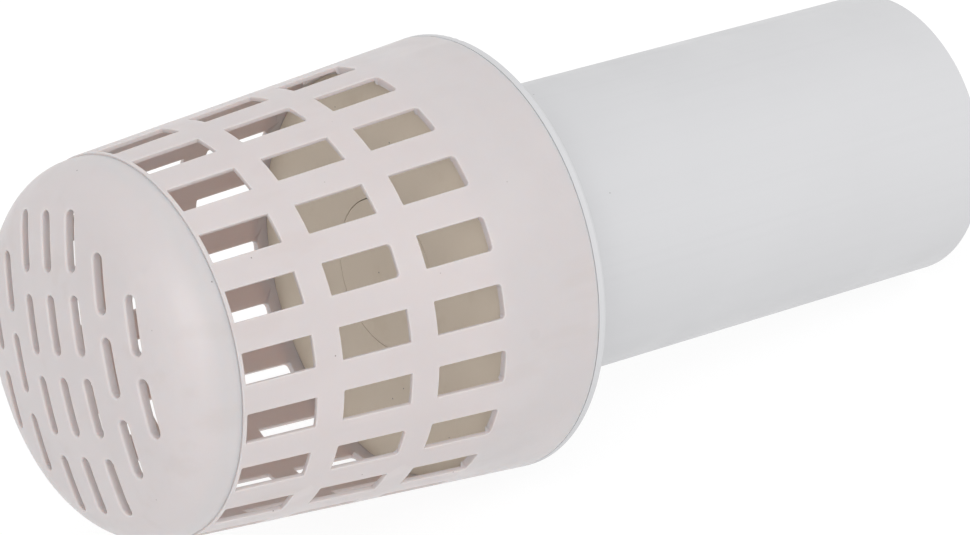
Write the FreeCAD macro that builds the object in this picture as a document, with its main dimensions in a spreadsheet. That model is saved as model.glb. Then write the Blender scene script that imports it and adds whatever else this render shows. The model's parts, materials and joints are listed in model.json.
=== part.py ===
"""Foot valve for a 63 mm suction pipe: a tapered strainer basket with a slotted dome cap, a valve
housing with a spring-loaded lift valve, and a plain pipe stub.

The axis of the valve is X. The origin is on the axis at the shoulder face of the housing, the pipe
leaves towards +X, the strainer reaches towards -X, and +Z is up with the valve lying on its side.
"Depth" is the distance from the shoulder face into the strainer, so a place at a depth has x = -depth.
"""
import FreeCAD, Part
import math
import os

import Sketcher
from FreeCAD import Placement, Rotation, Vector

# Driving dimensions, in millimetres unless the note says otherwise.
SIZES = [
    ("pipe_radius", 31.5, "outside radius of the suction pipe"),
    ("pipe_wall", 3.0, "wall of the suction pipe"),
    ("pipe_length", 118.3, "shoulder face to the free end of the pipe"),
    ("pipe_edge", 0.8, "chamfer at the free end of the pipe"),
    ("sized_cut", 0.5, "step from the pipe down to its inserted end, on the radius"),
    ("glue_gap", 0.05, "radial gap of a glued or pushed fit"),
    ("basket_radius", 47.0, "outside radius of the strainer cone in the plane of the shoulder face"),
    ("taper", 0.079, "radius lost per millimetre of depth, a plain ratio"),
    ("shell_wall", 1.8, "wall of the plain band and the spigot of the basket, on the radius"),
    ("window_wall", 1.0, "thinner wall of the basket along its windows, on the radius"),
    ("band_length", 24.5, "plain band from the shoulder face to the first row of windows"),
    ("window_length", 15.9, "length of a window along the axis"),
    ("window_rib", 6.3, "rib between two rows of windows"),
    ("window_half", 0.08, "half the width of a window over the radius there, a plain ratio"),
    ("windows_round", 20, "windows in one row, a count"),
    ("window_turn", 6.15, "turn of the first window from the top, in degrees"),
    ("lip_band", 0.9, "rim of the basket between the last windows and the cap"),
    ("lap", 4.0, "length of the basket spigot inside the cap"),
    ("lap_step", 1.4, "step from the basket's outside down to its spigot"),
    ("cap_inset", 0.4, "step from the basket in to the cap, on the radius"),
    ("cap_depth", 16.8, "depth of the dome cap"),
    ("cap_corner", 12.5, "outside radius of the rounded corner of the cap"),
    ("crown_radius", 140.0, "outside radius of the shallow crown of the cap"),
    ("cap_wall", 2.0, "wall of the cap"),
    ("cap_turn", -17.0, "turn of the cap's slots from upright, in degrees"),
    ("slot_width", 2.9, "width of a slot in the cap"),
    ("slot_length", 12.2, "distance between the ends of a slot"),
    ("slot_pitch", 16.8, "distance between slots in one column"),
    ("column_pitch", 8.75, "distance between columns of slots"),
    ("flange", 1.9, "visible edge of the housing, from the shoulder face to the basket"),
    ("rim_round", 0.8, "rounding of the shoulder"),
    ("collar_length", 7.5, "length of the pipe collar above the shoulder face"),
    ("collar_wall", 3.6, "wall of the pipe collar"),
    ("collar_edge", 1.0, "chamfer at the mouth of the collar"),
    ("skirt_depth", 17.0, "depth of the end of the housing skirt"),
    ("skirt_wall", 5.6, "wall of the housing skirt at its end"),
    ("lip_depth", 3.0, "depth of the ledge that the guide spider sits on"),
    ("lip_thickness", 3.0, "thickness of that ledge"),
    ("plate_thickness", 4.6, "thickness of the seat plate"),
    ("plate_spigot", 5.0, "height and thickness of the ring on the seat plate"),
    ("ring_section", 2.0, "section of the sealing ring of the plate"),
    ("ring_squeeze", 0.05, "gap left round the sealing ring"),
    ("port_radius", 16.5, "radius of the port through the seat plate"),
    ("seat_width", 2.0, "width of the raised seat"),
    ("seat_height", 1.5, "height of the raised seat"),
    ("seat_gap", 0.05, "gap between the seat and the closed seal"),
    ("plug_gap", 0.2, "radial gap between the plug and the port"),
    ("seal_cover", 2.5, "what the rubber seal covers beyond the seat, on the radius"),
    ("seal_thickness", 2.5, "thickness of the rubber seal"),
    ("disc_thickness", 3.5, "thickness of the valve disc"),
    ("disc_skirt", 1.2, "how far the edge of the disc reaches down round the seal"),
    ("disc_edge", 1.5, "width of that edge"),
    ("spring_fence", 1.5, "height and width of the ring that centres the spring"),
    ("stem_radius", 3.0, "radius of the valve stem"),
    ("stem_gap", 0.06, "running gap of the stem in its bush, on the radius"),
    ("stem_reach", 6.0, "how far the closed stem stands out of the guide hub"),
    ("stem_edge", 0.6, "chamfer of the stem end"),
    ("head_radius", 5.0, "radius of the stem head"),
    ("head_height", 3.0, "height of the stem head"),
    ("head_cover", 1.0, "plastic of the plug below the moulded-in stem head"),
    ("washer_step", 0.6, "what the washer in the plug is wider than the head, on the radius"),
    ("washer_thickness", 0.8, "thickness of both washers"),
    ("washer_radius", 6.0, "outside radius of the washer under the nut"),
    ("nut_corner", 5.77, "corner radius of the hexagon nut"),
    ("nut_height", 3.2, "height of the nut"),
    ("lift", 9.0, "travel of the valve"),
    ("stop_gap", 0.3, "gap left between nut and guide hub at full lift"),
    ("hub_radius", 6.4, "radius of the guide hub"),
    ("hub_nose", 4.0, "part of the guide hub inside the spring"),
    ("hub_length", 18.0, "length of the guide hub"),
    ("spring_seat", 2.0, "thickness of the spring seat on the hub"),
    ("spoke_count", 3, "spokes of the guide spider, a count"),
    ("spoke_width", 3.0, "width of a spoke"),
    ("spoke_height", 6.0, "height of a spoke along the axis"),
    ("spider_flange", 2.0, "thickness of the spider flange under the pipe"),
    ("spider_wall", 1.8, "wall of the spider ring"),
    ("bush_wall", 1.4, "wall of the guide bush"),
    ("bush_flange", 1.0, "thickness of the bush flange"),
    ("wire_radius", 0.6, "radius of the spring wire"),
    ("coil_radius", 8.2, "mean radius of the spring"),
    ("coil_turns", 5.0, "turns of the spring, a count"),
]
SLOT_COLUMNS = [2, 3, 4, 4, 4, 3, 2]
FULL_TURN = 360.0
HEXAGON = 6


class Size:
    """A length with its value and the sheet formula that gives it."""

    def __init__(self, value, text):
        self.value = value
        self.text = text

    def combined(self, other, sign, value):
        return Size(value, "(%s %s %s)" % (self.text, sign, as_size(other).text))

    def __add__(self, other):
        return self.combined(other, "+", self.value + as_size(other).value)

    def __sub__(self, other):
        return self.combined(other, "-", self.value - as_size(other).value)

    def __mul__(self, other):
        return self.combined(other, "*", self.value * as_size(other).value)

    def __truediv__(self, other):
        return self.combined(other, "/", self.value / as_size(other).value)

    def __neg__(self):
        return Size(-self.value, "(0 - %s)" % self.text)


def as_size(number):
    if isinstance(number, Size):
        return number
    return Size(float(number), repr(number))


def root(size):
    return Size(math.sqrt(size.value), "sqrt(%s)" % size.text)


ZERO = Size(0.0, "0")
doc = FreeCAD.newDocument("foot_valve")


def make_sheet():
    """Writes the driving dimensions to the sheet and returns them by name."""
    sheet = doc.addObject("Spreadsheet::Sheet", "Sizes")
    named = {}
    for row, (name, value, note) in enumerate(SIZES, start=1):
        sheet.set("A%d" % row, name)
        sheet.set("B%d" % row, str(value))
        sheet.set("C%d" % row, note)
        sheet.setAlias("B%d" % row, name)
        named[name] = Size(float(value), "Sizes.%s" % name)
    doc.recompute()
    return named


S = make_sheet()

# ---- places that several pieces share -------------------------------------------------------


def cone_radius(depth):
    """Outside radius of the strainer cone at a depth."""
    return S["basket_radius"] - S["taper"] * depth


def liner_radius(depth):
    """Radius of what is pushed into the basket at a depth."""
    return cone_radius(depth) - S["shell_wall"] - S["glue_gap"]


def row_start(row):
    return S["band_length"] + (S["window_length"] + S["window_rib"]) * row


WINDOW_ROWS = 3
BASKET_END = row_start(WINDOW_ROWS - 1) + S["window_length"] + S["lip_band"]
SPIGOT_RADIUS = cone_radius(BASKET_END) - S["lap_step"]
CAP_RADIUS = cone_radius(BASKET_END) - S["cap_inset"]
PIPE_START = S["spider_flange"] - S["lip_depth"]
SIZED_RADIUS = S["pipe_radius"] - S["sized_cut"]
SOCKET_RADIUS = SIZED_RADIUS + S["glue_gap"]
PIPE_BORE = S["pipe_radius"] - S["pipe_wall"]
SPIDER_RADIUS = PIPE_BORE - S["glue_gap"]
THROAT_RADIUS = SPIDER_RADIUS - S["spider_wall"]
CHAMBER_RADIUS = liner_radius(S["skirt_depth"]) - S["skirt_wall"]
PLATE_TOP = -S["skirt_depth"]
PLATE_BOTTOM = PLATE_TOP - S["plate_thickness"]
SEAT_TOP = PLATE_TOP + S["seat_height"]
SEAL_BOTTOM = SEAT_TOP + S["seat_gap"]
SEAL_TOP = SEAL_BOTTOM + S["seal_thickness"]
SEAT_RADIUS = S["port_radius"] + S["seat_width"]
SEAL_RADIUS = SEAT_RADIUS + S["seal_cover"]
DISC_TOP = SEAL_TOP + S["disc_thickness"]
NUT_BOTTOM = DISC_TOP + S["washer_thickness"]
NUT_TOP = NUT_BOTTOM + S["nut_height"]
HUB_BOTTOM = NUT_TOP + S["lift"] + S["stop_gap"]
SPOKE_BOTTOM = HUB_BOTTOM + S["hub_nose"]
HUB_TOP = HUB_BOTTOM + S["hub_length"]
STEM_TOP = HUB_TOP + S["bush_flange"] + S["stem_reach"]
HEAD_BOTTOM = PLATE_BOTTOM + S["head_cover"]
WASHER_BOTTOM = HEAD_BOTTOM + S["head_height"]
WASHER_SIDE = S["head_radius"] + S["washer_step"]
BUSH_RADIUS = S["stem_radius"] + S["stem_gap"] + S["bush_wall"]


# ---- sketches ---------------------------------------------------------------------------------


def new_body(label):
    body = doc.addObject("PartDesign::Body", label)
    body.Label = label
    return body


def new_sketch(body, name, plane, height=ZERO):
    """A sketch on one of the body's own origin planes, lifted along that plane's normal."""
    sketch = body.newObject("Sketcher::SketchObject", name)
    for feature in body.Origin.OriginFeatures:
        if feature.Role == plane:
            sketch.AttachmentSupport = [(feature, "")]
    sketch.MapMode = "FlatFace"
    if height is not ZERO:
        sketch.setExpression("AttachmentOffset.Base.z", height.text)
    return sketch


def pin(sketch, geometry, end, x, y):
    """Ties a point of the sketch to two sheet formulas."""
    for kind, axis, size in (("DistanceX", -2, x), ("DistanceY", -1, y)):
        if size is ZERO:
            sketch.addConstraint(Sketcher.Constraint("PointOnObject", geometry, end, axis))
            continue
        index = sketch.addConstraint(Sketcher.Constraint(kind, -1, 1, geometry, end, size.value))
        sketch.setExpression("Constraints[%d]" % index, size.text)


def bind_radius(sketch, geometry, radius):
    index = sketch.addConstraint(Sketcher.Constraint("Radius", geometry, radius.value))
    sketch.setExpression("Constraints[%d]" % index, radius.text)


def arc_between(start, end, radius):
    """The short arc that turns clockwise from start to end."""
    middle = (start + end) * 0.5
    half = (end - start) * 0.5
    rise = math.sqrt(max(radius ** 2 - half.Length ** 2, 0.0))
    side = Vector(half.y, -half.x, 0).normalize()
    centre = middle + side * rise
    first = math.atan2(end.y - centre.y, end.x - centre.x)
    last = math.atan2(start.y - centre.y, start.x - centre.x)
    circle = Part.Circle(centre, Vector(0, 0, 1), radius)
    return Part.ArcOfCircle(circle, first, last)


def outline(sketch, points):
    """Draws a closed outline. A point is (x, y), or (x, y, radius) where a clockwise arc leaves it,
    or (x, y, radius, "left") where the arc turns the other way."""
    ends = []
    count = len(points)
    for number, point in enumerate(points):
        following = points[(number + 1) % count]
        start = Vector(point[0].value, point[1].value, 0)
        end = Vector(following[0].value, following[1].value, 0)
        if len(point) == 2:
            geometry = sketch.addGeometry(Part.LineSegment(start, end))
            ends.append((geometry, 1, 2))
        elif len(point) == 3:
            geometry = sketch.addGeometry(arc_between(start, end, point[2].value))
            ends.append((geometry, 2, 1))
        else:
            geometry = sketch.addGeometry(arc_between(end, start, point[2].value))
            ends.append((geometry, 1, 2))
    for number, point in enumerate(points):
        geometry, first, last = ends[number]
        following = ends[(number + 1) % count]
        sketch.addConstraint(Sketcher.Constraint("Coincident", geometry, last, following[0], following[1]))
        pin(sketch, geometry, first, point[0], point[1])
        if len(point) > 2:
            bind_radius(sketch, geometry, point[2])


def revolve(body, name, points):
    """Adds the solid that a half section (x, radius) makes round the X axis."""
    sketch = new_sketch(body, name + "_section", "XY_Plane")
    outline(sketch, points)
    feature = body.newObject("PartDesign::Revolution", name)
    feature.Profile = sketch
    feature.ReferenceAxis = (sketch, ["H_Axis"])
    feature.Angle = FULL_TURN
    return feature


def polar(body, name, feature, count):
    """Repeats a feature of the body round the X axis."""
    pattern = body.newObject("PartDesign::PolarPattern", name)
    pattern.Originals = [feature]
    for axis in body.Origin.OriginFeatures:
        if axis.Role == "X_Axis":
            pattern.Axis = (axis, [""])
    pattern.Angle = FULL_TURN
    pattern.setExpression("Occurrences", count.text)
    body.Tip = pattern
    return pattern


def pocket(body, name, sketch, depth, reverse=False):
    feature = body.newObject("PartDesign::Pocket", name)
    feature.Profile = sketch
    feature.Type = "Length"
    feature.setExpression("Length", depth.text)
    feature.Reversed = reverse
    return feature


def pad(body, name, sketch, height):
    feature = body.newObject("PartDesign::Pad", name)
    feature.Profile = sketch
    feature.Type = "Length"
    feature.setExpression("Length", height.text)
    return feature


def hexagon(sketch, corner_radius):
    """A hexagon round the origin of the sketch with one corner on its vertical axis."""
    for_width = math.sqrt(3) / 2
    half = corner_radius * 0.5
    side = corner_radius * round(for_width, 6)
    outline(sketch, [
        (ZERO, corner_radius), (side, half), (side, -half),
        (ZERO, -corner_radius), (-side, -half), (-side, half),
    ])


def turn(body, angle):
    """Turns a finished piece about the X axis, positive from +Z towards -Y."""
    body.Placement = Placement(Vector(), Rotation(Vector(1, 0, 0), 1))
    body.setExpression("Placement.Rotation.Angle", angle.text)


def tube(label, bottom, top, inner, outer):
    """A plain ring or washer in a body of its own."""
    body = new_body(label)
    revolve(body, label + "_ring", [(bottom, inner), (bottom, outer), (top, outer), (top, inner)])
    return body


# ---- fixed pieces --------------------------------------------------------------------------------


def strainer_basket():
    """The tapered basket: three rows of windows, open at the housing, with a spigot for the cap."""
    body = new_body("strainer_basket")
    end = BASKET_END
    band_end = S["band_length"]
    last_window = end - S["lip_band"]
    spigot_end = end + S["lap"]
    revolve(body, "basket_shell", [
        (-S["flange"], cone_radius(S["flange"])),
        (-S["flange"], cone_radius(S["flange"]) - S["shell_wall"]),
        (-band_end, cone_radius(band_end) - S["shell_wall"]),
        (-band_end, cone_radius(band_end) - S["window_wall"]),
        (-last_window, cone_radius(last_window) - S["window_wall"]),
        (-last_window, SPIGOT_RADIUS - S["shell_wall"]),
        (-spigot_end, SPIGOT_RADIUS - S["shell_wall"]),
        (-spigot_end, SPIGOT_RADIUS),
        (-end, SPIGOT_RADIUS),
        (-end, cone_radius(end)),
    ])
    sketch = new_sketch(body, "windows_drawing", "XY_Plane")
    for row in range(WINDOW_ROWS):
        near = row_start(row)
        far = near + S["window_length"]
        near_half = S["window_half"] * cone_radius(near)
        far_half = S["window_half"] * cone_radius(far)
        outline(sketch, [(-near, near_half), (-near, -near_half), (-far, -far_half), (-far, far_half)])
    windows = pocket(body, "windows", sketch, S["basket_radius"], reverse=True)
    polar(body, "windows_round_basket", windows, S["windows_round"])
    turn(body, S["window_turn"])
    return body


def slot_outline(sketch, y, z):
    """One upright slot with round ends about a point of the cap."""
    radius = S["slot_width"] * 0.5
    half = (S["slot_length"] - S["slot_width"]) * 0.5
    outline(sketch, [
        (y - radius, z + half, radius),
        (y, z + half + radius, radius),
        (y + radius, z + half),
        (y + radius, z - half, radius),
        (y, z - half - radius, radius),
        (y - radius, z - half),
    ])


def dome_cap():
    """The slotted dome that closes the small end of the basket."""
    body = new_body("dome_cap")
    end = BASKET_END
    tip = -end - S["cap_depth"]
    corner_in = CAP_RADIUS - S["cap_corner"]
    reach = root((S["crown_radius"] - S["cap_corner"]) * (S["crown_radius"] - S["cap_corner"])
                 - corner_in * corner_in)
    corner_x = tip + S["crown_radius"] - reach
    share = S["crown_radius"] / (S["crown_radius"] - S["cap_corner"])
    inner_share = (S["crown_radius"] - S["cap_wall"]) / (S["crown_radius"] - S["cap_corner"])
    inner_corner = S["cap_corner"] - S["cap_wall"]
    lap_x = -end - S["lap"] - S["glue_gap"]
    lap_bore = SPIGOT_RADIUS + S["glue_gap"]
    rise = lap_x - corner_x
    ledge = corner_in + root(inner_corner * inner_corner - rise * rise)
    revolve(body, "cap_shell", [
        (tip, ZERO, S["crown_radius"]),
        (tip + S["crown_radius"] - reach * share, corner_in * share, S["cap_corner"]),
        (corner_x, CAP_RADIUS),
        (-end, CAP_RADIUS),
        (-end, lap_bore),
        (lap_x, lap_bore),
        (lap_x, ledge, inner_corner, "left"),
        (tip + S["crown_radius"] - reach * inner_share, corner_in * inner_share,
         S["crown_radius"] - S["cap_wall"], "left"),
        (tip + S["cap_wall"], ZERO),
    ])
    middle = (len(SLOT_COLUMNS) - 1) / 2
    for column, count in enumerate(SLOT_COLUMNS):
        sketch = new_sketch(body, "column_%d_drawing" % column, "YZ_Plane")
        across = S["column_pitch"] * (column - middle)
        for slot in range(count):
            slot_outline(sketch, across, S["slot_pitch"] * (slot - (count - 1) / 2))
        pocket(body, "column_%d" % column, sketch, BASKET_END + S["cap_depth"] + S["cap_wall"])
    turn(body, S["cap_turn"])
    return body


def valve_housing():
    """The shoulder, the collar that takes the pipe and the skirt that carries the basket."""
    body = new_body("valve_housing")
    collar = SOCKET_RADIUS + S["collar_wall"]
    chamber_top = -S["lip_depth"] - S["lip_thickness"]
    revolve(body, "housing_shell", [
        (-S["lip_depth"], SOCKET_RADIUS),
        (-S["lip_depth"], THROAT_RADIUS),
        (chamber_top, THROAT_RADIUS),
        (chamber_top, CHAMBER_RADIUS),
        (PLATE_TOP, CHAMBER_RADIUS),
        (PLATE_TOP, liner_radius(S["skirt_depth"])),
        (-S["flange"], liner_radius(S["flange"])),
        (-S["flange"], cone_radius(S["flange"])),
        (-S["rim_round"], cone_radius(S["rim_round"]), S["rim_round"]),
        (ZERO, cone_radius(ZERO) - S["rim_round"]),
        (ZERO, collar),
        (S["collar_length"] - S["collar_edge"], collar),
        (S["collar_length"], collar - S["collar_edge"]),
        (S["collar_length"], SOCKET_RADIUS),
    ])
    return body


def suction_stub():
    """The plain pipe, glued into the collar down to the flange of the guide spider."""
    body = new_body("suction_stub")
    revolve(body, "pipe", [
        (PIPE_START, PIPE_BORE),
        (PIPE_START, SIZED_RADIUS),
        (S["collar_length"], SIZED_RADIUS),
        (S["collar_length"], S["pipe_radius"]),
        (S["pipe_length"] - S["pipe_edge"], S["pipe_radius"]),
        (S["pipe_length"], S["pipe_radius"] - S["pipe_edge"]),
        (S["pipe_length"], PIPE_BORE),
    ])
    return body


def seat_plate():
    """The flat plate that closes the housing, with the port and its raised seat."""
    body = new_body("seat_plate")
    ring_out = CHAMBER_RADIUS - S["glue_gap"]
    ring_in = ring_out - S["plate_spigot"]
    ring_top = PLATE_TOP + S["plate_spigot"]
    groove_half = S["ring_section"] * 0.5 + S["ring_squeeze"] * 2
    groove_mid = PLATE_TOP + S["plate_spigot"] * 0.5
    groove_in = CHAMBER_RADIUS - S["ring_section"] - S["ring_squeeze"] * 2
    revolve(body, "plate", [
        (PLATE_BOTTOM, S["port_radius"]),
        (PLATE_BOTTOM, liner_radius(-PLATE_BOTTOM)),
        (PLATE_TOP, liner_radius(S["skirt_depth"])),
        (PLATE_TOP, ring_out),
        (groove_mid - groove_half, ring_out),
        (groove_mid - groove_half, groove_in),
        (groove_mid + groove_half, groove_in),
        (groove_mid + groove_half, ring_out),
        (ring_top, ring_out),
        (ring_top, ring_in),
        (PLATE_TOP, ring_in),
        (PLATE_TOP, SEAT_RADIUS),
        (SEAT_TOP, SEAT_RADIUS),
        (SEAT_TOP, S["port_radius"]),
    ])
    return body


def plate_seal_ring():
    """The rubber ring in the groove of the seat plate."""
    ring = doc.addObject("Part::Torus", "plate_seal_ring")
    ring.Label = "plate_seal_ring"
    section = S["ring_section"] * 0.5
    middle = PLATE_TOP + S["plate_spigot"] * 0.5
    ring.setExpression("Radius1", (CHAMBER_RADIUS - section - S["ring_squeeze"]).text)
    ring.setExpression("Radius2", section.text)
    ring.Placement = Placement(Vector(middle.value, 0, 0), Rotation(Vector(0, 1, 0), 90))
    ring.setExpression("Placement.Base.x", middle.text)
    return ring


def guide_spider():
    """The ring under the pipe, its spokes and the hub that guides the stem."""
    body = new_body("guide_spider")
    spoke_top = SPOKE_BOTTOM + S["spoke_height"]
    revolve(body, "spider_ring", [
        (-S["lip_depth"], THROAT_RADIUS),
        (-S["lip_depth"], SIZED_RADIUS),
        (PIPE_START, SIZED_RADIUS),
        (PIPE_START, SPIDER_RADIUS),
        (spoke_top, SPIDER_RADIUS),
        (spoke_top, THROAT_RADIUS),
    ])
    sketch = new_sketch(body, "spoke_drawing", "YZ_Plane", SPOKE_BOTTOM)
    half = S["spoke_width"] * 0.5
    inner = BUSH_RADIUS + S["spoke_width"] * 0.5
    outer = THROAT_RADIUS + S["spider_wall"] * 0.5
    outline(sketch, [(-half, inner), (half, inner), (half, outer), (-half, outer)])
    spoke = pad(body, "spoke", sketch, S["spoke_height"])
    polar(body, "spokes", spoke, S["spoke_count"])
    seat_out = S["coil_radius"] + S["wire_radius"] * 2
    seat_top = SPOKE_BOTTOM + S["spring_seat"]
    hub = revolve(body, "hub", [
        (HUB_BOTTOM, BUSH_RADIUS),
        (HUB_BOTTOM, S["hub_radius"]),
        (SPOKE_BOTTOM, S["hub_radius"]),
        (SPOKE_BOTTOM, seat_out),
        (seat_top, seat_out),
        (seat_top, S["hub_radius"]),
        (HUB_TOP, S["hub_radius"]),
        (HUB_TOP, BUSH_RADIUS),
    ])
    body.Tip = hub
    return body


def guide_bush():
    """The bush pressed into the hub from the pipe side."""
    body = new_body("guide_bush")
    bore = S["stem_radius"] + S["stem_gap"]
    flange_top = HUB_TOP + S["bush_flange"]
    revolve(body, "bush", [
        (HUB_BOTTOM, bore),
        (HUB_BOTTOM, BUSH_RADIUS),
        (HUB_TOP, BUSH_RADIUS),
        (HUB_TOP, S["hub_radius"]),
        (flange_top, S["hub_radius"]),
        (flange_top, bore),
    ])
    return body


def valve_spring():
    """The round-wire spring between the valve disc and the seat on the hub."""
    first = DISC_TOP + S["wire_radius"]
    last = SPOKE_BOTTOM - S["wire_radius"]
    length = last - first
    helix = doc.addObject("Part::Helix", "spring_path")
    helix.setExpression("Height", length.text)
    helix.setExpression("Pitch", (length / S["coil_turns"]).text)
    helix.setExpression("Radius", S["coil_radius"].text)
    wire = doc.addObject("Sketcher::SketchObject", "spring_wire")
    circle = wire.addGeometry(Part.Circle(Vector(S["coil_radius"].value, 0, 0), Vector(0, 0, 1),
                                          S["wire_radius"].value))
    pin(wire, circle, 3, S["coil_radius"], ZERO)
    bind_radius(wire, circle, S["wire_radius"])
    wire.Placement = Placement(Vector(), Rotation(Vector(1, 0, 0), 90))
    spring = doc.addObject("Part::Sweep", "valve_spring")
    spring.Label = "valve_spring"
    spring.Sections = [wire]
    spring.Spine = (helix, ["Edge1"])
    spring.Solid = True
    spring.Frenet = True
    spring.Placement = Placement(Vector(first.value, 0, 0), Rotation(Vector(0, 1, 0), 90))
    spring.setExpression("Placement.Base.x", first.text)
    return spring


# ---- pieces that lift together ----------------------------------------------------------------


def valve_stem():
    """The shouldered stem: flat head, shank and chamfered end."""
    body = new_body("valve_stem")
    revolve(body, "stem", [
        (HEAD_BOTTOM, ZERO),
        (HEAD_BOTTOM, S["head_radius"]),
        (WASHER_BOTTOM, S["head_radius"]),
        (WASHER_BOTTOM, S["stem_radius"]),
        (STEM_TOP - S["stem_edge"], S["stem_radius"]),
        (STEM_TOP, S["stem_radius"] - S["stem_edge"]),
        (STEM_TOP, ZERO),
    ])
    return body


def seal_plug():
    """The plug moulded round the stem head: it fills the port flush with the plate and clamps the
    seal from below."""
    body = new_body("seal_plug")
    web = WASHER_BOTTOM + S["washer_thickness"]
    plug_radius = S["port_radius"] - S["plug_gap"]
    head_side = S["head_radius"] + S["glue_gap"]
    head_floor = HEAD_BOTTOM - S["glue_gap"]
    bore = S["stem_radius"] + S["glue_gap"]
    revolve(body, "plug", [
        (PLATE_BOTTOM, ZERO),
        (PLATE_BOTTOM, plug_radius),
        (SEAL_BOTTOM, plug_radius),
        (SEAL_BOTTOM, bore),
        (web, bore),
        (web, WASHER_SIDE),
        (WASHER_BOTTOM, WASHER_SIDE),
        (WASHER_BOTTOM, head_side),
        (head_floor, head_side),
        (head_floor, ZERO),
    ])
    return body


def valve_disc():
    """The disc over the seal, with a turned-down edge and a ring that centres the spring."""
    body = new_body("valve_disc")
    bore = S["stem_radius"] + S["glue_gap"]
    seal_side = SEAL_RADIUS + S["glue_gap"]
    fence = S["coil_radius"] + S["wire_radius"] * 2
    revolve(body, "disc", [
        (SEAL_TOP, bore),
        (SEAL_TOP, seal_side),
        (SEAL_TOP - S["disc_skirt"], seal_side),
        (SEAL_TOP - S["disc_skirt"], seal_side + S["disc_edge"]),
        (DISC_TOP - S["disc_edge"], seal_side + S["disc_edge"]),
        (DISC_TOP, seal_side),
        (DISC_TOP, fence + S["spring_fence"]),
        (DISC_TOP + S["spring_fence"], fence + S["spring_fence"]),
        (DISC_TOP + S["spring_fence"], fence),
        (DISC_TOP, fence),
        (DISC_TOP, bore),
    ])
    return body


def disc_nut():
    """The thin hexagon nut that clamps disc, seal and plug on the stem."""
    body = new_body("disc_nut")
    sketch = new_sketch(body, "nut_drawing", "YZ_Plane", NUT_BOTTOM)
    hexagon(sketch, S["nut_corner"])
    circle = sketch.addGeometry(Part.Circle(Vector(), Vector(0, 0, 1), S["stem_radius"].value))
    sketch.addConstraint(Sketcher.Constraint("Coincident", circle, 3, -1, 1))
    bind_radius(sketch, circle, S["stem_radius"] + S["glue_gap"])
    pad(body, "nut", sketch, S["nut_height"])
    return body


def build():
    bore = S["stem_radius"] + S["glue_gap"]
    washer_side = WASHER_SIDE - S["glue_gap"]
    return [
        strainer_basket(),
        dome_cap(),
        valve_housing(),
        suction_stub(),
        seat_plate(),
        plate_seal_ring(),
        guide_spider(),
        guide_bush(),
        valve_spring(),
        valve_stem(),
        tube("plug_washer", WASHER_BOTTOM, WASHER_BOTTOM + S["washer_thickness"], bore, washer_side),
        seal_plug(),
        tube("disc_seal", SEAL_BOTTOM, SEAL_TOP, bore, SEAL_RADIUS),
        valve_disc(),
        tube("disc_washer", DISC_TOP, NUT_BOTTOM, bore, S["washer_radius"]),
        disc_nut(),
    ]


def check(pieces):
    """Stops if any object failed, a piece has no single valid solid or a cut removed nothing."""
    for item in doc.Objects:
        if "Invalid" in item.State or "Error" in item.State:
            raise RuntimeError("%s failed: %s" % (item.Name, item.State))
    for item in doc.Objects:
        if item.TypeId == "PartDesign::Pocket" and item.Shape.Volume >= item.BaseFeature.Shape.Volume:
            raise RuntimeError("%s cuts nothing" % item.Name)
    for piece in pieces:
        shape = piece.Shape
        if shape.isNull() or not shape.isValid() or len(shape.Solids) != 1:
            raise RuntimeError("%s is not one valid solid" % piece.Label)


def write(pieces):
    os.makedirs("parts", exist_ok=True)
    for piece in pieces:
        piece.Shape.exportStep("parts/%s.step" % piece.Label)
        print("%-18s %9.1f mm3" % (piece.Label, piece.Shape.Volume))


pieces = build()
doc.recompute()
check(pieces)
write(pieces)
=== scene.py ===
"""The looks of the foot valve: the moulded basket and dome, finishes, floor, light and camera."""

import json
import math

import bpy
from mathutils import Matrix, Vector
from mathutils.geometry import delaunay_2d_cdt


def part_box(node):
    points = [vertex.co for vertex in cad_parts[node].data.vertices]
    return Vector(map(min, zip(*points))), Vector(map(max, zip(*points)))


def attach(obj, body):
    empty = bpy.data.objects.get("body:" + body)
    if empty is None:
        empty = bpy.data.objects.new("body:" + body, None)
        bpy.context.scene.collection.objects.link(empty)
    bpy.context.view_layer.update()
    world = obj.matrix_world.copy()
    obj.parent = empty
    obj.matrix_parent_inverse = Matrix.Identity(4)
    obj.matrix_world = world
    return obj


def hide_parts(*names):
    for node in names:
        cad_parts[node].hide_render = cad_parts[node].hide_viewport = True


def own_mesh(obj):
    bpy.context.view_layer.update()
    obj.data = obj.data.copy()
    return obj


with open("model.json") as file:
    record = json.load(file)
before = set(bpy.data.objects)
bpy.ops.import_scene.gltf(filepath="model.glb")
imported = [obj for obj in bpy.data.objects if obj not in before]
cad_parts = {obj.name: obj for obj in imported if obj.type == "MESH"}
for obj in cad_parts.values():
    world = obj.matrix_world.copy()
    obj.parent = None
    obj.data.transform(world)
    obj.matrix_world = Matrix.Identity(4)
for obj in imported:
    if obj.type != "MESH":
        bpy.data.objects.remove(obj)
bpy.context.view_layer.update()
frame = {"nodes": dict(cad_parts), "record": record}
MM = 0.001

# ---- sizes of the moulded pieces, in millimetres, as in the CAD source -------------------------
BASKET_RADIUS = 47.0
TAPER = 0.079
SHELL_WALL = 1.8
WINDOW_WALL = 1.0
FLANGE = 1.9
BAND = 24.5
WINDOW = 15.9
RIB = 6.3
ROWS = 3
WINDOWS = 20
WINDOW_HALF = math.asin(0.08)
WINDOW_TURN = math.radians(6.15)
LIP = 0.9
LAP = 4.0
LAP_STEP = 1.4
GLUE_GAP = 0.05
BASKET_END = BAND + ROWS * WINDOW + (ROWS - 1) * RIB + LIP
SPIGOT = BASKET_RADIUS - TAPER * BASKET_END - LAP_STEP

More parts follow.
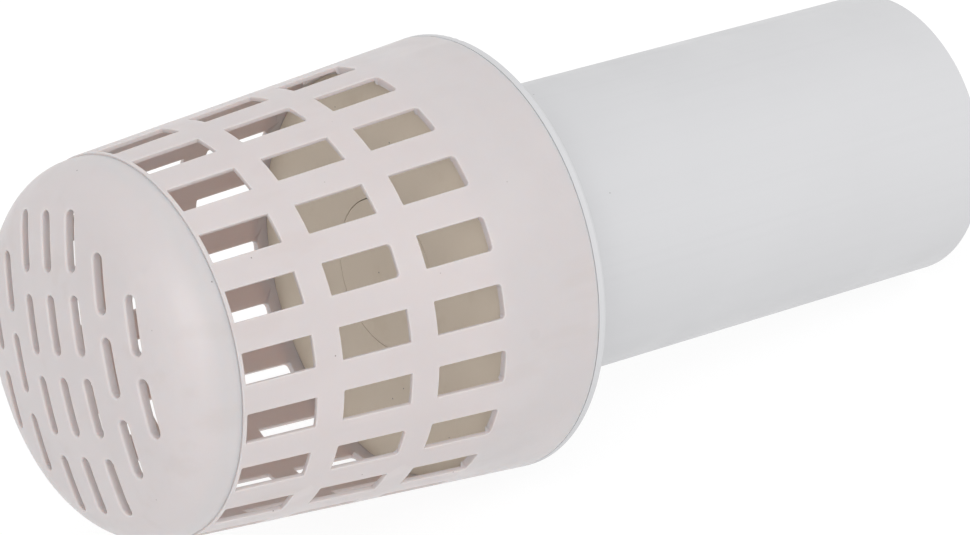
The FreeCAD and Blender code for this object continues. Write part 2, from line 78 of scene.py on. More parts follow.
CAP_INSET = 0.4
CAP_RADIUS = BASKET_RADIUS - TAPER * BASKET_END - CAP_INSET
CAP_DEPTH = 16.8
CAP_CORNER = 12.5
CROWN = 140.0
CAP_WALL = 2.0
CAP_TURN = math.radians(-17.0)
SLOT_WIDTH = 2.9
SLOT_LENGTH = 12.2
SLOT_PITCH = 16.8
COLUMN_PITCH = 8.75
SLOT_COLUMNS = [2, 3, 4, 4, 4, 3, 2]

# ---- softness of the moulded edges, in millimetres ----------------------------------------------
WINDOW_EDGE = 0.22
CORNER_SHARP = 0.25
CORNER_SOFT = 0.9
SEAM_EDGE = 0.3
RIM_EDGE = 0.12
SLOT_EDGE = 0.45
SLOT_INNER_EDGE = 0.15
HIDDEN_EDGE = 0.1
SPIGOT_CORNER = 0.3
SPIGOT_INNER_CORNER = 0.2
EDGE_STEPS = 3
SLOT_EDGE_STEPS = 4
SLOT_INNER_STEPS = 2
QUARTER = math.pi / 2


class Mesh:
    """Points with their own normals and faces, gathered before they become a Blender object."""

    def __init__(self):
        self.points = []
        self.normals = []
        self.faces = []
        self.known = {}

    def point(self, place, normal, key=None):
        """The number of a point; points with the same key are one point."""
        if key is not None and key in self.known:
            return self.known[key]
        self.points.append([value * MM for value in place])
        self.normals.append(Vector(normal).normalized())
        if key is not None:
            self.known[key] = len(self.points) - 1
        return len(self.points) - 1

    def strip(self, first, second):
        """Quads between two closed rows of points of equal length."""
        count = len(first)
        for i in range(count):
            j = (i + 1) % count
            self.faces.append((first[i], first[j], second[j], second[i]))

    def strips(self, rows):
        """Quads between each row of points and the next."""
        for first, second in zip(rows, rows[1:]):
            self.strip(first, second)

    def facing(self, face):
        """The face turned so that its front is on the side of its points' normals."""
        first, second, third = (Vector(self.points[i]) for i in face[:3])
        front = (second - first).cross(third - first)
        if len(face) == 4:
            fourth = Vector(self.points[face[3]])
            front = (third - first).cross(fourth - second)
        lean = sum((self.normals[i] for i in face), Vector())
        return face if front.dot(lean) >= 0 else tuple(reversed(face))

    def build(self, name, material):
        data = bpy.data.meshes.new(name)
        data.from_pydata(self.points, [], [self.facing(face) for face in self.faces])
        data.polygons.foreach_set("use_smooth", [True] * len(data.polygons))
        data.update()
        data.normals_split_custom_set_from_vertices(self.normals)
        data.materials.append(material)
        piece = bpy.data.objects.new(name, data)
        bpy.context.scene.collection.objects.link(piece)
        return piece


def round_edge(steps=EDGE_STEPS):
    """Pairs of sine and cosine over a quarter turn."""
    return [(math.sin(QUARTER * i / steps), math.cos(QUARTER * i / steps)) for i in range(steps + 1)]


# ---- the strainer basket -------------------------------------------------------------------------
SECTOR = 2 * math.pi / WINDOWS
LINES = 7                      # spaces between the grid lines of one window cell, each way
LOOP_START = 5                 # place on the cell's edge that lies beside the window loop's start
SIDE_PARTS = 3                 # parts of a window's straight side
CORNER_STEPS = 4               # steps of a window's rounded corner
STEP_REACH = 0.4               # how far the thick wall reaches past the band
BAND_START = 2.0               # width of the band that belongs to the first row of cells
LIP_SHARE = 0.6                # share of the lip that belongs to the last row of cells
BAND_SIDE = -0.5               # a loop's point faces the band when its normal leans past this
SOFT_EVERY = 3                 # in the middle row, every third window has soft corners
CONE_ALONG = -TAPER            # the outer face's normal along the axis, for 1 outwards


def cone(depth):
    """The outer radius of the basket."""
    return BASKET_RADIUS - TAPER * depth


def on_basket(angle, depth, below):
    """A point under the outer face of the basket; the angle runs from +Z towards -Y."""
    radius = cone(depth) - below
    return (-depth, -radius * math.sin(angle), radius * math.cos(angle))


def basket_normal(angle, along, outwards, sideways=0.0):
    """A direction given along the axis, outwards and sideways (towards a larger angle)."""
    sine, cosine = math.sin(angle), math.cos(angle)
    return (along, -outwards * sine - sideways * cosine, outwards * cosine - sideways * sine)


def wall_at(depth):
    """The wall of the basket, thick along the band and thin along the windows."""
    return SHELL_WALL if depth < BAND + STEP_REACH else WINDOW_WALL


def row_start(row):
    """The depth at which a row of windows begins."""
    return BAND + (WINDOW + RIB) * row


def cell_angles():
    """Angles of the grid lines of one cell, from its middle."""
    inner = WINDOW_HALF - CORNER_SOFT / BASKET_RADIUS
    middle = (WINDOW_HALF + SECTOR / 2) / 2
    return [-SECTOR / 2, -middle, -inner, -inner / 3, inner / 3, inner, middle]


def cell_depths(row):
    """Depths of the grid lines of one row, from the shoulder side to the cap side."""
    near = row_start(row)
    far = near + WINDOW
    start = near - (BAND_START if row == 0 else RIB / 2)
    end = far + (LIP * LIP_SHARE if row == ROWS - 1 else RIB / 2)
    first = near + CORNER_SOFT
    last = far - CORNER_SOFT
    part = (WINDOW - 2 * CORNER_SOFT) / SIDE_PARTS
    return [start, (start + near) / 2, first, first + part, last - part, last, (far + end) / 2, end]


def window_loop(row, grow, corner_near, corner_far):
    """The window's edge as (sideways, depth, sideways normal, depth normal), grown outwards."""
    near = row_start(row) - grow
    far = near + WINDOW + 2 * grow
    soft_near = corner_near + grow
    soft_far = corner_far + grow
    straight = far - near - soft_near - soft_far
    shares = [part / SIDE_PARTS for part in range(1, SIDE_PARTS)]
    loop = []

    def half(depth):
        return WINDOW_HALF * cone(depth) + grow

    def corner(side, radius, centre, start):
        for i in range(CORNER_STEPS + 1):
            angle = start + QUARTER * i / CORNER_STEPS
            out, down = math.cos(angle), math.sin(angle)
            depth = centre + radius * down
            loop.append((side * (half(depth) - radius) + radius * out, depth, out, down))

    corner(1, soft_near, near + soft_near, -QUARTER)
    for share in shares:
        depth = near + soft_near + straight * share
        loop.append((half(depth), depth, 1.0, 0.0))
    corner(1, soft_far, far - soft_far, 0.0)
    width = half(far) - soft_far
    loop.extend((width * (1 - 2 * share), far, 0.0, 1.0) for share in shares)
    corner(-1, soft_far, far - soft_far, QUARTER)
    for share in shares:
        depth = far - soft_far - straight * share
        loop.append((-half(depth), depth, -1.0, 0.0))
    corner(-1, soft_near, near + soft_near, 2 * QUARTER)
    width = half(near) - soft_near
    loop.extend((-width * (1 - 2 * share), near, 0.0, -1.0) for share in shares)
    return loop


def boundary_lines():
    """Grid lines (across, down) round the edge of a cell, in the order of the window loop."""
    path = [(i, 0) for i in range(LINES)]
    path += [(LINES, i) for i in range(LINES)]
    path += [(LINES - i, LINES) for i in range(LINES)]
    path += [(0, LINES - i) for i in range(LINES)]
    return path[LOOP_START:] + path[:LOOP_START]


def basket_ring(mesh, layer, line, depth, below, along, outwards):
    """A full ring of points on the grid's own angles."""
    ring = []
    offsets = cell_angles()
    for sector in range(WINDOWS):
        for j, offset in enumerate(offsets):
            angle = WINDOW_TURN + SECTOR * sector + offset
            key = (layer, sector * LINES + j, line)
            normal = basket_normal(angle, along, outwards)
            ring.append(mesh.point(on_basket(angle, depth, below), normal, key))
    return ring


def window_cell(mesh, sector, row):
    """One window with its softened edges and the wall round it, out to the middle of the ribs."""
    middle = WINDOW_TURN + SECTOR * sector
    offsets = cell_angles() + [SECTOR / 2]
    depths = cell_depths(row)
    rounded = row == 0 or (row == 1 and sector % SOFT_EVERY == 0)
    corner_near = CORNER_SOFT if rounded else CORNER_SHARP

    def boundary(layer, outwards):
        points = []
        for across, down in boundary_lines():
            angle = middle + offsets[across]
            depth = depths[down]
            below = 0.0 if layer == "out" else wall_at(depth)
            key = (layer, (sector * LINES + across) % (WINDOWS * LINES), row * LINES + down)
            normal = basket_normal(angle, CONE_ALONG * outwards, outwards)
            points.append(mesh.point(on_basket(angle, depth, below), normal, key))
        return points

    def ring(grow, sink, lean, inside):
        """A loop at a fixed distance under the outer face, or above the inner one."""
        points = []
        for side, depth, out, down in window_loop(row, grow, corner_near, CORNER_SHARP):
            angle = middle + side / cone(depth)
            at_band = row == 0 and down < BAND_SIDE
            wall = SHELL_WALL if at_band else WINDOW_WALL
            below = wall - sink if inside else sink
            flat, steep = math.cos(lean), math.sin(lean)
            normal = basket_normal(angle, CONE_ALONG * flat + down * steep, flat, -out * steep)
            points.append(mesh.point(on_basket(angle, depth, below), normal))
        return points

    rows = [boundary("out", 1.0)]
    for sine, cosine in round_edge():
        lean = math.atan2(sine, cosine)
        rows.append(ring(WINDOW_EDGE * (1 - sine), WINDOW_EDGE * (1 - cosine), lean, False))
    for sine, cosine in reversed(round_edge()):
        lean = math.pi - math.atan2(sine, cosine)
        rows.append(ring(WINDOW_EDGE * (1 - sine), WINDOW_EDGE * (1 - cosine), lean, True))
    rows.append(boundary("in", -1.0))
    mesh.strips(rows)


def basket_rings(mesh, profile):
    """Rings through a profile of (depth, below, along, outwards)."""
    rings = []
    for number, (depth, below, along, outwards) in enumerate(profile):
        layer = f"ring{depth:.3f}_{number}"
        rings.append(basket_ring(mesh, layer, 0, depth, below, along, outwards))
    return rings


def edge_profile(depth, side, edge):
    """Softened outer edge of an end face, as (depth, below, along, outwards), from the outer face."""
    corner = []
    for sine, cosine in reversed(round_edge()):
        corner.append((depth + side * edge * (1 - cosine), edge * (1 - sine), side * cosine, sine))
    return corner


def shoulder_profile():
    """The end face of the basket at the shoulder, from its outer face to its inner one."""
    return edge_profile(FLANGE, 1.0, SEAM_EDGE) + [
        (FLANGE, SHELL_WALL - HIDDEN_EDGE, 1.0, 0.0),
        (FLANGE + HIDDEN_EDGE, SHELL_WALL, 0.0, -1.0)]


def spigot_profile(end):
    """The lip, the step down to the spigot, the spigot and its bore, up to the windows' wall."""
    far = BASKET_END + LAP

    def spigot(depth, wall):
        return cone(depth) - SPIGOT + wall

    outer = far - SPIGOT_CORNER
    inner = far - SPIGOT_INNER_CORNER
    back = end + SPIGOT_INNER_CORNER
    ledge = SHELL_WALL - SPIGOT_INNER_CORNER
    return edge_profile(BASKET_END, -1.0, RIM_EDGE) + [
        (BASKET_END, spigot(BASKET_END, 0.0), -0.7, 0.7),
        (outer, spigot(outer, 0.0), 0.0, 1.0),
        (far, spigot(far, SPIGOT_CORNER), -1.0, 0.0),
        (far, spigot(far, ledge), -1.0, 0.0),
        (inner, spigot(inner, SHELL_WALL), 0.0, -1.0),
        (back, spigot(back, SHELL_WALL), 0.0, -1.0),
        (end, spigot(end, ledge), 1.0, 0.0)]


def strainer_basket(material):
    """The tapered shell with its windows, the end face at the shoulder and the spigot in the cap."""
    mesh = Mesh()
    for row in range(ROWS):
        for sector in range(WINDOWS):
            window_cell(mesh, sector, row)
    start = cell_depths(0)[0]
    end = cell_depths(ROWS - 1)[-1]
    ends = [(0, start, SHELL_WALL, shoulder_profile()),
            (ROWS * LINES, end, WINDOW_WALL, spigot_profile(end))]
    for line, depth, wall, profile in ends:
        outer = basket_ring(mesh, "out", line, depth, 0.0, CONE_ALONG, 1.0)
        inner = basket_ring(mesh, "in", line, depth, wall, -CONE_ALONG, -1.0)
        mesh.strips([outer] + basket_rings(mesh, profile) + [inner])
    piece = mesh.build("basket_shell", material)
    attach(piece, "root")
    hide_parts("strainer_basket")
    return piece


# ---- the dome cap --------------------------------------------------------------------------------
TIP = -BASKET_END - CAP_DEPTH
CORNER_IN = CAP_RADIUS - CAP_CORNER
REACH = math.sqrt((CROWN - CAP_CORNER) ** 2 - CORNER_IN ** 2)
CORNER_X = TIP + CROWN - REACH
CORNER_START = CORNER_IN * CROWN / (CROWN - CAP_CORNER)
FIELD = 34.5                   # radius of the slotted field, which is meshed flat
FIELD_POINTS = 144             # points of every ring of the dome
GRAIN = 2.1                    # spacing of the points between the slots
RIM_CLEAR = 0.6 * GRAIN        # those points' least distance from the field's rim
SLOT_CLEAR = 0.35 * GRAIN      # and from a slot's edge
SAME_POINT = 1e-6
ON_SLOT = 1e-4
SLOT_BEND = 8                  # steps round a slot's end
SLOT_SIDE = 5                  # parts of a slot's straight side
CORNER_RINGS = 12
CORNER_INNER_RINGS = 8


def dome_surface(radius, inset):
    """The axial place of the dome's face, and its normal as (along, outwards)."""
    share = 1 - inset / CROWN
    if radius <= CORNER_START * share:
        size = CROWN - inset
        rise = math.sqrt(size * size - radius * radius)
        return TIP + CROWN - rise, (-rise / size, radius / size)
    size = CAP_CORNER - inset
    out = radius - CORNER_IN
    rise = math.sqrt(max(size * size - out * out, 0.0))
    return CORNER_X - rise, (-rise / size, out / size)


def slot_centres():
    """The centres of the slots as (y, z), column by column, before the cap is turned."""
    centres = []
    middle = (len(SLOT_COLUMNS) - 1) / 2
    for column, count in enumerate(SLOT_COLUMNS):
        for slot in range(count):
            centres.append((COLUMN_PITCH * (column - middle), SLOT_PITCH * (slot - (count - 1) / 2)))
    return centres


def slot_loop(centre, grow):
    """The edge of a slot as (y, z, y normal, z normal) before the cap is turned."""
    radius = SLOT_WIDTH / 2 + grow
    half = (SLOT_LENGTH - SLOT_WIDTH) / 2
    loop = []
    for end in (1, -1):
        start = 0.0 if end == 1 else math.pi
        for i in range(SLOT_BEND + 1):
            angle = start + math.pi * i / SLOT_BEND
            out, up = math.cos(angle), math.sin(angle)
            loop.append((centre[0] + radius * out, centre[1] + end * half + radius * up, out, up))
        for i in range(1, SLOT_SIDE):
            z = centre[1] + end * half * (1 - 2 * i / SLOT_SIDE)
            loop.append((centre[0] - end * radius, z, -end, 0.0))
    return loop


def slot_distance(y, z):
    """The distance to the edge of the nearest slot, below zero inside a slot."""
    return min(distance_to(centre, y, z) for centre in slot_centres())


def distance_to(centre, y, z):
    """The distance to the edge of one slot."""
    half = (SLOT_LENGTH - SLOT_WIDTH) / 2
    beyond = max(abs(z - centre[1]) - half, 0.0)
    return math.hypot(y - centre[0], beyond) - SLOT_WIDTH / 2


def turned(y, z):
    """A place or direction across the axis, turned with the cap."""
    sine, cosine = math.sin(CAP_TURN), math.cos(CAP_TURN)
    return y * cosine - z * sine, y * sine + z * cosine


def dome_point(mesh, y, z, inset, sink=0.0, outwards=1.0, wall=(0.0, 0.0), lean=0.0):
    """A point of the dome's outer or inner face, or of a slot's wall where lean is not zero."""
    radius = math.hypot(y, z)
    x, (along, out) = dome_surface(radius, inset)
    unit = (y / radius, z / radius) if radius > 0 else (0.0, 0.0)
    flat, steep = outwards * math.cos(lean), math.sin(lean)
    sideways = [out * unit[i] * flat - wall[i] * steep for i in range(2)]
    return mesh.point((x + sink, *turned(y, z)), (along * flat, *turned(*sideways)))


def ring_angles():
    """The angles of the points of every ring of the dome."""
    return [2 * math.pi * i / FIELD_POINTS for i in range(FIELD_POINTS)]


def slotted_field(mesh, inset, grow, loops, outwards, rim):
    """The flat mesh between the slots, laid on the outer or the inner face of the dome."""
    places = []
    targets = []
    edges = []

    def ring(points, indices):
        first = len(places)
        places.extend(points)
        targets.extend(indices)
        count = len(points)
        edges.extend((first + i, first + (i + 1) % count) for i in range(count))

    ring([(FIELD * math.cos(angle), FIELD * math.sin(angle)) for angle in ring_angles()], rim)
    for centre, loop in zip(slot_centres(), loops):
        ring([(y, z) for y, z, out, up in slot_loop(centre, grow)], loop)
    steps = int(FIELD / GRAIN) + 1
    for i in range(-steps, steps + 1):
        for j in range(-steps, steps + 1):
            y = GRAIN * (i + 0.5 * (j % 2))
            z = GRAIN * j * math.sqrt(3) / 2
            if math.hypot(y, z) < FIELD - RIM_CLEAR and slot_distance(y, z) > grow + SLOT_CLEAR:
                places.append((y, z))
                targets.append(dome_point(mesh, y, z, inset, outwards=outwards))
    found = delaunay_2d_cdt([Vector(place) for place in places], edges, [], 0, SAME_POINT)
    spots, triangles, origins = found[0], found[2], found[3]
    owner = [targets[source[0]] for source in origins]
    for triangle in triangles:
        y = sum(spots[i].x for i in triangle) / 3
        z = sum(spots[i].y for i in triangle) / 3
        if slot_distance(y, z) >= grow - ON_SLOT:
            mesh.faces.append(tuple(owner[i] for i in triangle))


def dome_ring(mesh, x, radius, along, outwards):
    """A ring of the dome at one place on the axis."""
    ring = []
    for angle in ring_angles():
        out, up = math.cos(angle), math.sin(angle)
        place = (x, *turned(radius * out, radius * up))
        ring.append(mesh.point(place, (along, *turned(outwards * out, outwards * up))))
    return ring


def corner_rings(mesh, inset, radius_from, radius_to, steps, outwards):
    """Rings along the rounded corner of the dome, from one radius to another."""
    size = CAP_CORNER - inset
    first = math.asin((radius_from - CORNER_IN) / size)
    last = math.asin(min((radius_to - CORNER_IN) / size, 1.0))
    rings = []
    for i in range(1, steps + 1):
        angle = first + (last - first) * i / steps
        back, out = math.cos(angle), math.sin(angle)
        rings.append(dome_ring(mesh, CORNER_X - size * back, CORNER_IN + size * out,
                               -outwards * back, outwards * out))
    return rings


def slot_rows(mesh, centre, inset, edge, steps, outwards):
    """Rows of points over the softened edge of a slot, from the dome's face into the slot."""
    rows = []
    for sine, cosine in round_edge(steps):
        lean = math.atan2(sine, cosine)
        sink = outwards * edge * (1 - cosine)
        rows.append([dome_point(mesh, y, z, inset, sink, outwards, (out, up), lean)
                     for y, z, out, up in slot_loop(centre, edge * (1 - sine))])
    return rows


def rim_rings(mesh):
    """Rings over the rim of the dome and the lap inside it, to the start of the inner corner."""
    lap_bore = SPIGOT + GLUE_GAP
    lap_x = -BASKET_END - LAP - GLUE_GAP
    ledge = ledge_radius(lap_x)
    rings = []
    for sine, cosine in round_edge():
        rings.append(dome_ring(mesh, -BASKET_END - RIM_EDGE * (1 - sine),
                               CAP_RADIUS - RIM_EDGE * (1 - cosine), sine, cosine))
    rings.append(dome_ring(mesh, -BASKET_END, lap_bore + HIDDEN_EDGE, 1.0, 0.0))
    rings.append(dome_ring(mesh, -BASKET_END - HIDDEN_EDGE, lap_bore, 0.0, -1.0))
    rings.append(dome_ring(mesh, lap_x, lap_bore, 0.5, -0.5))
    rings.append(dome_ring(mesh, lap_x, ledge + HIDDEN_EDGE, 1.0, 0.0))
    return rings + corner_rings(mesh, CAP_WALL, FIELD, ledge, CORNER_INNER_RINGS, -1.0)[::-1]


def ledge_radius(lap_x):
    """The radius at which the inner corner of the dome meets the end of the lap."""
    rise = lap_x - CORNER_X
    if rise >= 0:
        return CAP_RADIUS - CAP_WALL
    return CORNER_IN + math.sqrt((CAP_CORNER - CAP_WALL) ** 2 - rise ** 2)


def dome_cap(material):
    """The slotted dome with softened slot edges, its corner and the lap over the basket's spigot."""
    mesh = Mesh()
    outer_loops = []
    inner_loops = []
    for centre in slot_centres():
        rows = slot_rows(mesh, centre, 0.0, SLOT_EDGE, SLOT_EDGE_STEPS, 1.0)
        rows += slot_rows(mesh, centre, CAP_WALL, SLOT_INNER_EDGE, SLOT_INNER_STEPS, -1.0)[::-1]
        mesh.strips(rows)
        outer_loops.append(rows[0])
        inner_loops.append(rows[-1])
    x, (along, out) = dome_surface(FIELD, 0.0)
    outer_rim = dome_ring(mesh, x, FIELD, along, out)
    x, (along, out) = dome_surface(FIELD, CAP_WALL)
    inner_rim = dome_ring(mesh, x, FIELD, -along, -out)
    slotted_field(mesh, 0.0, SLOT_EDGE, outer_loops, 1.0, outer_rim)
    slotted_field(mesh, CAP_WALL, SLOT_INNER_EDGE, inner_loops, -1.0, inner_rim)
    corner = corner_rings(mesh, 0.0, FIELD, CAP_RADIUS, CORNER_RINGS, 1.0)
    mesh.strips([outer_rim] + corner + rim_rings(mesh) + [inner_rim])
    piece = mesh.build("dome_shell", material)
    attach(piece, "root")
    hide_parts("dome_cap")
    return piece


# ---- materials -----------------------------------------------------------------------------------
PLASTIC_IOR = 1.5
PLASTIC_WEAR = 0.06            # how far the edges of plastic go towards their worn colour
HARD_WEAR = 0.5                # the same for rubber and steel
EDGE_FROM, EDGE_FULL = 0.52, 0.62      # pointiness at which wear begins, and is full
SPECK_CORE = 0.6               # share of a speck that is fully dark
WARM_REACH = (1.0, 0.68, 0.54)         # how far red, green and blue travel inside the plastic
GLOW_DEPTH = 3.0               # millimetres that light travels inside the plastic


class Nodes:
    """A short way to write a material's nodes."""

    def __init__(self, name):
        self.material = bpy.data.materials.new(name)
        self.material.use_nodes = True
        self.tree = self.material.node_tree
        self.shader = self.tree.nodes["Principled BSDF"]
        self.place = self.add("ShaderNodeTexCoord").outputs["Object"]

    def add(self, kind, **values):
        node = self.tree.nodes.new(kind)
        for key, value in values.items():
            setattr(node, key, value)
        return node

    def link(self, source, target):
        self.tree.links.new(source, target)

    def stretched(self, scale):
        """The object's coordinates with the given scale along each axis."""
        mapping = self.add("ShaderNodeMapping")
        mapping.inputs["Scale"].default_value = scale
        self.link(self.place, mapping.inputs["Vector"])
        return mapping.outputs["Vector"]

    def noise(self, size, detail=3.0, source=None):
        """Noise whose features are about size millimetres across, from 0 to 1."""
        node = self.add("ShaderNodeTexNoise")
        node.inputs["Scale"].default_value = 1.0 / (size * MM)
        node.inputs["Detail"].default_value = detail
        self.link(source or self.place, node.inputs["Vector"])
        return node.outputs["Fac"]

    def math(self, operation, first, second):
        node = self.add("ShaderNodeMath", operation=operation)
        for socket, value in zip(node.inputs, (first, second)):
            if isinstance(value, float):
                socket.default_value = value
            else:
                self.link(value, socket)
        return node.outputs[0]

    def ranged(self, source, low, high, out_low, out_high):
        """The source moved smoothly from the range low to high into out_low to out_high."""
        node = self.add("ShaderNodeMapRange", interpolation_type="SMOOTHSTEP")
        for socket, value in zip(node.inputs[1:5], (low, high, out_low, out_high)):
            socket.default_value = value
        self.link(source, node.inputs["Value"])
        return node.outputs["Result"]

    def mix(self, factor, first, second):
        node = self.add("ShaderNodeMix", data_type="RGBA")
        sockets = (node.inputs["Factor"], node.inputs[6], node.inputs[7])
        for socket, value in zip(sockets, (factor, first, second)):
            if isinstance(value, tuple):
                socket.default_value = (*value, 1.0)
            elif isinstance(value, float):
                socket.default_value = value
            else:
                self.link(value, socket)
        return node.outputs[2]

    def specks(self, spacing, size, share):
        """A mask of small scattered dots: spacing and size in millimetres, share of cells used."""
        node = self.add("ShaderNodeTexVoronoi")
        node.inputs["Scale"].default_value = 1.0 / (spacing * MM)
        self.link(self.place, node.inputs["Vector"])
        reach = size / spacing
        near = self.ranged(node.outputs["Distance"], reach * SPECK_CORE, reach, 1.0, 0.0)
        chosen = self.add("ShaderNodeSeparateColor")
        self.link(node.outputs["Color"], chosen.inputs["Color"])
        return self.math("MULTIPLY", near, self.math("LESS_THAN", chosen.outputs[0], share))

    def worn(self, tint, bare, amount):
        """The tint with its raised edges rubbed towards a bare colour."""
        edge = self.add("ShaderNodeNewGeometry").outputs["Pointiness"]
        return self.mix(self.ranged(edge, EDGE_FROM, EDGE_FULL, 0.0, amount), tint, bare)

    def bump(self, height, depth, after=None):
        """Relief of the given depth in millimetres."""
        node = self.add("ShaderNodeBump")
        node.inputs["Distance"].default_value = depth * MM
        self.link(height, node.inputs["Height"])
        if after is not None:
            self.link(after, node.inputs["Normal"])
        return node.outputs["Normal"]


def shade(colour, factor):
    """The colour made darker or lighter."""
    return tuple(min(value * factor, 1.0) for value in colour)


def cloudy(nodes, colour, size, detail, spread):
    """The colour with soft clouds, a little darker and a little lighter than it."""
    clouds = nodes.ranged(nodes.noise(size, detail), 0.35, 0.65, 0.0, 1.0)
    return nodes.mix(clouds, shade(colour, 1 - spread), shade(colour, 1 + spread))


def specked(nodes, tint, colour, spacing, size, share, amount):
    """The tint with small scattered dots of another colour."""
    return nodes.mix(nodes.math("MULTIPLY", nodes.specks(spacing, size, share), amount), tint, colour)


def moulded_plastic(name, colour, dark, specks=True, roughness=0.42, glow=0.0):
    """Injection moulded PVC: cloudy colour, faint flow marks, specks, satin gloss and fine relief."""
    nodes = Nodes(name)
    shader = nodes.shader.inputs
    tint = cloudy(nodes, colour, size=26.0, detail=4.0, spread=0.015)
    flow = nodes.noise(7.0, source=nodes.stretched((0.25, 1.0, 1.0)))
    tint = nodes.mix(nodes.ranged(flow, 0.56, 0.72, 0.0, 0.35), tint, dark)
    tint = nodes.worn(tint, (0.95, 0.93, 0.92), PLASTIC_WEAR)
    if specks:
        tint = specked(nodes, tint, (0.12, 0.10, 0.09), spacing=5.5, size=0.22, share=0.35, amount=0.75)
        tint = specked(nodes, tint, shade(dark, 0.7), spacing=19.0, size=1.6, share=0.3, amount=0.10)
    nodes.link(tint, shader["Base Color"])
    patches = nodes.ranged(nodes.noise(9.0), 0.3, 0.7, roughness - 0.05, roughness + 0.07)
    nodes.link(patches, shader["Roughness"])
    wave = nodes.bump(nodes.noise(14.0, detail=2.0), depth=0.12)
    nodes.link(nodes.bump(nodes.noise(0.8), depth=0.012, after=wave), shader["Normal"])
    shader["IOR"].default_value = PLASTIC_IOR
    if glow:
        shader["Subsurface Weight"].default_value = glow
        shader["Subsurface Radius"].default_value = WARM_REACH
        shader["Subsurface Scale"].default_value = GLOW_DEPTH * MM
    return nodes.material


def extruded_pvc(name, colour, dark):
    """Extruded pipe: cool white, faint draw lines along the axis, scattered specks."""
    nodes = Nodes(name)
    shader = nodes.shader.inputs
    tint = cloudy(nodes, colour, size=40.0, detail=3.0, spread=0.01)
    lines = nodes.noise(1.6, source=nodes.stretched((0.012, 1.0, 1.0)))
    tint = nodes.mix(nodes.ranged(lines, 0.5, 0.75, 0.0, 0.25), tint, dark)
    tint = nodes.worn(tint, (0.90, 0.90, 0.90), PLASTIC_WEAR)
    tint = specked(nodes, tint, (0.15, 0.15, 0.15), spacing=8.0, size=0.24, share=0.3, amount=0.7)
    nodes.link(tint, shader["Base Color"])
    nodes.link(nodes.ranged(nodes.noise(12.0), 0.3, 0.7, 0.34, 0.44), shader["Roughness"])
    nodes.link(nodes.bump(lines, depth=0.03), shader["Normal"])
    shader["IOR"].default_value = PLASTIC_IOR
    return nodes.material


def black_rubber():
    """Matt black rubber with a little dust and paler edges."""
    nodes = Nodes("nitrile_rubber")
    shader = nodes.shader.inputs
    dust = nodes.ranged(nodes.noise(3.0, detail=4.0), 0.45, 0.8, 0.0, 0.5)
    tint = nodes.mix(dust, (0.018, 0.018, 0.018), (0.05, 0.048, 0.045))
    nodes.link(nodes.worn(tint, (0.09, 0.088, 0.085), HARD_WEAR), shader["Base Color"])
    nodes.link(nodes.ranged(nodes.noise(2.0), 0.3, 0.7, 0.62, 0.8), shader["Roughness"])
    nodes.link(nodes.bump(nodes.noise(0.35), depth=0.02), shader["Normal"])
    return nodes.material


def turned_steel():
    """Stainless steel with fine turning marks round the axis and a few dull patches."""
    nodes = Nodes("turned_stainless")
    shader = nodes.shader.inputs
    marks = nodes.noise(0.18, detail=2.0, source=nodes.stretched((1.0, 0.02, 0.02)))
    stain = nodes.ranged(nodes.noise(4.0, detail=4.0), 0.4, 0.7, 0.0, 0.5)
    tint = nodes.mix(stain, (0.58, 0.57, 0.55), (0.45, 0.44, 0.42))
    nodes.link(nodes.worn(tint, (0.72, 0.71, 0.70), HARD_WEAR), shader["Base Color"])
    shader["Metallic"].default_value = 1.0
    nodes.link(nodes.ranged(marks, 0.3, 0.7, 0.22, 0.38), shader["Roughness"])
    nodes.link(nodes.bump(marks, depth=0.006), shader["Normal"])
    return nodes.material


BASKET_COLOUR = (0.518, 0.484, 0.486)
BASKET_DARK = (0.484, 0.440, 0.430)
PIPE_COLOUR = (0.515, 0.516, 0.528)
PIPE_DARK = (0.490, 0.490, 0.503)
PLATE_COLOUR = (0.760, 0.660, 0.530)
PLATE_DARK = (0.690, 0.580, 0.440)
NYLON_COLOUR = (0.74, 0.72, 0.66)
NYLON_DARK = (0.68, 0.65, 0.58)

MATERIALS = {
    "strainer_plastic": moulded_plastic("basket_pvc", BASKET_COLOUR, BASKET_DARK, glow=0.6, roughness=0.37),
    "pipe_pvc": extruded_pvc("pipe_pvc", PIPE_COLOUR, PIPE_DARK),
    "plate_plastic": moulded_plastic("plate_pvc", PLATE_COLOUR, PLATE_DARK, roughness=0.5),
    "seal_rubber": black_rubber(),
    "bush_nylon": moulded_plastic("bush_nylon", NYLON_COLOUR, NYLON_DARK, specks=False, glow=0.3),
    "stainless_steel": turned_steel(),
}


def finish_frame():
    """Gives each CAD node the material of its slot."""
    for item in frame["record"]["subparts"]:
        node = frame["nodes"][item["node"]]
        node.data.materials.clear()
        node.data.materials.append(MATERIALS[item["material_slot"]])


def press_spring():
    """Gives the spring its own copy of its mesh."""
    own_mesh(frame["nodes"]["valve_spring"])


# ---- camera --------------------------------------------------------------------------------------
VIEW_AZIMUTH = math.radians(37.345)
VIEW_ELEVATION = math.radians(22.08)
VIEW_DISTANCE = 1.0592
VIEW_TARGET = Vector((0.00248, -0.00253, -0.00352))
LENS = 185.85
SENSOR = 36.0


def make_camera():
    """A long lens that looks at the valve from the dome side, a little above the axis."""
    flat = math.cos(VIEW_ELEVATION)
    back = Vector((-math.sin(VIEW_AZIMUTH) * flat, -math.cos(VIEW_AZIMUTH) * flat,
                   math.sin(VIEW_ELEVATION)))
    data = bpy.data.cameras.new("camera")
    data.lens = LENS
    data.sensor_width = SENSOR
    camera = bpy.data.objects.new("camera", data)
    camera.location = VIEW_TARGET + back * VIEW_DISTANCE
    camera.rotation_mode = "QUATERNION"
    camera.rotation_quaternion = (-back).to_track_quat("-Z", "Y")
    bpy.context.scene.collection.objects.link(camera)
    bpy.context.scene.camera = camera


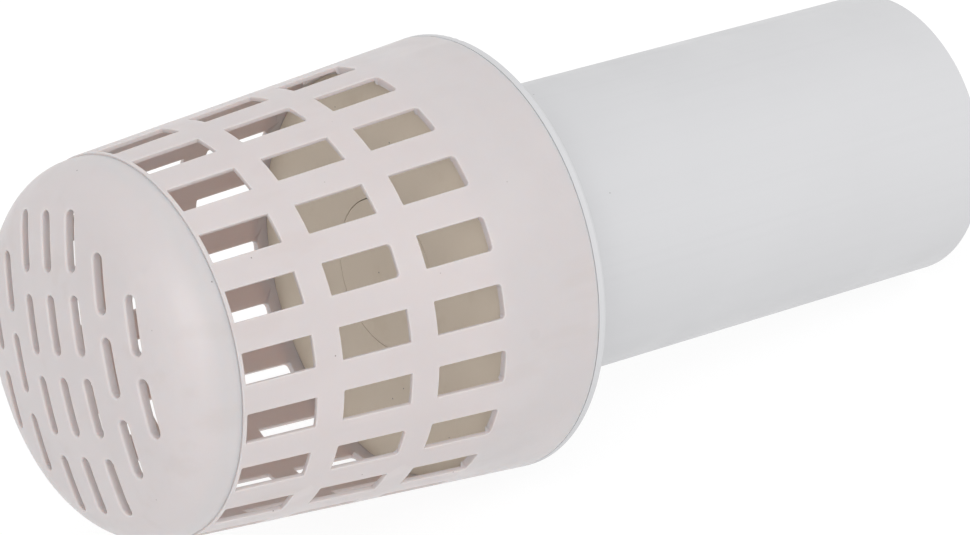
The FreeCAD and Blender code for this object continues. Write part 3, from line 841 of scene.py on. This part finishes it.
# ---- floor and light -----------------------------------------------------------------------------
FLOOR_SIZE = 14.0
FLOOR_PAINT = 0.15
FLOOR_CLOUDS = 300.0
FLOOR_SPREAD = 1.02
FLOOR_ROUGHNESS = 0.9
FLOOR_GLOW = 0.87
RIM_PLACE = -0.001
WHITE = (1, 1, 1, 1)
SKY = 1.0
KEY_PLACE = (-0.65, -1.1, 0.75)
KEY_SIZE = 1.2
KEY_ENERGY = 9.0


def make_floor():
    """A white light table that the shoulder rim and the pipe's end rest on."""
    rim = Vector((RIM_PLACE, 0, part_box("valve_housing")[0].z))
    stub_low, stub_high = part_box("suction_stub")
    end = Vector((stub_high.x, 0, stub_low.z))
    tilt = math.atan2(end.z - rim.z, end.x - rim.x)
    half = FLOOR_SIZE / 2
    along = Vector((math.cos(tilt), 0, math.sin(tilt))) * half
    across = Vector((0, half, 0))
    data = bpy.data.meshes.new("floor")
    corners = [rim - along - across, rim + along - across, rim + along + across, rim - along + across]
    data.from_pydata(corners, [], [(0, 1, 2, 3)])
    nodes = Nodes("floor_white")
    shader = nodes.shader.inputs
    paint = (FLOOR_PAINT,) * 3
    tint = nodes.mix(nodes.noise(FLOOR_CLOUDS), paint, shade(paint, FLOOR_SPREAD))
    nodes.link(tint, shader["Base Color"])
    shader["Roughness"].default_value = FLOOR_ROUGHNESS
    shader["Specular IOR Level"].default_value = 0.0
    shader["Emission Color"].default_value = WHITE
    shader["Emission Strength"].default_value = FLOOR_GLOW
    data.materials.append(nodes.material)
    floor = bpy.data.objects.new("floor", data)
    bpy.context.scene.collection.objects.link(floor)


def make_light():
    """A white surround and one large soft lamp on the camera's side."""
    world = bpy.data.worlds.new("world")
    world.use_nodes = True
    background = world.node_tree.nodes["Background"]
    background.inputs["Color"].default_value = WHITE
    background.inputs["Strength"].default_value = SKY
    bpy.context.scene.world = world
    data = bpy.data.lights.new("key_light", "AREA")
    data.shape = "DISK"
    data.size = KEY_SIZE
    data.energy = KEY_ENERGY
    lamp = bpy.data.objects.new("key_light", data)
    lamp.location = KEY_PLACE
    lamp.rotation_mode = "QUATERNION"
    lamp.rotation_quaternion = (-Vector(KEY_PLACE)).to_track_quat("-Z", "Y")
    bpy.context.scene.collection.objects.link(lamp)


finish_frame()
strainer_basket(MATERIALS["strainer_plastic"])
dome_cap(MATERIALS["strainer_plastic"])
press_spring()
make_floor()
make_light()
make_camera()
bpy.context.scene.view_settings.view_transform = "Standard"
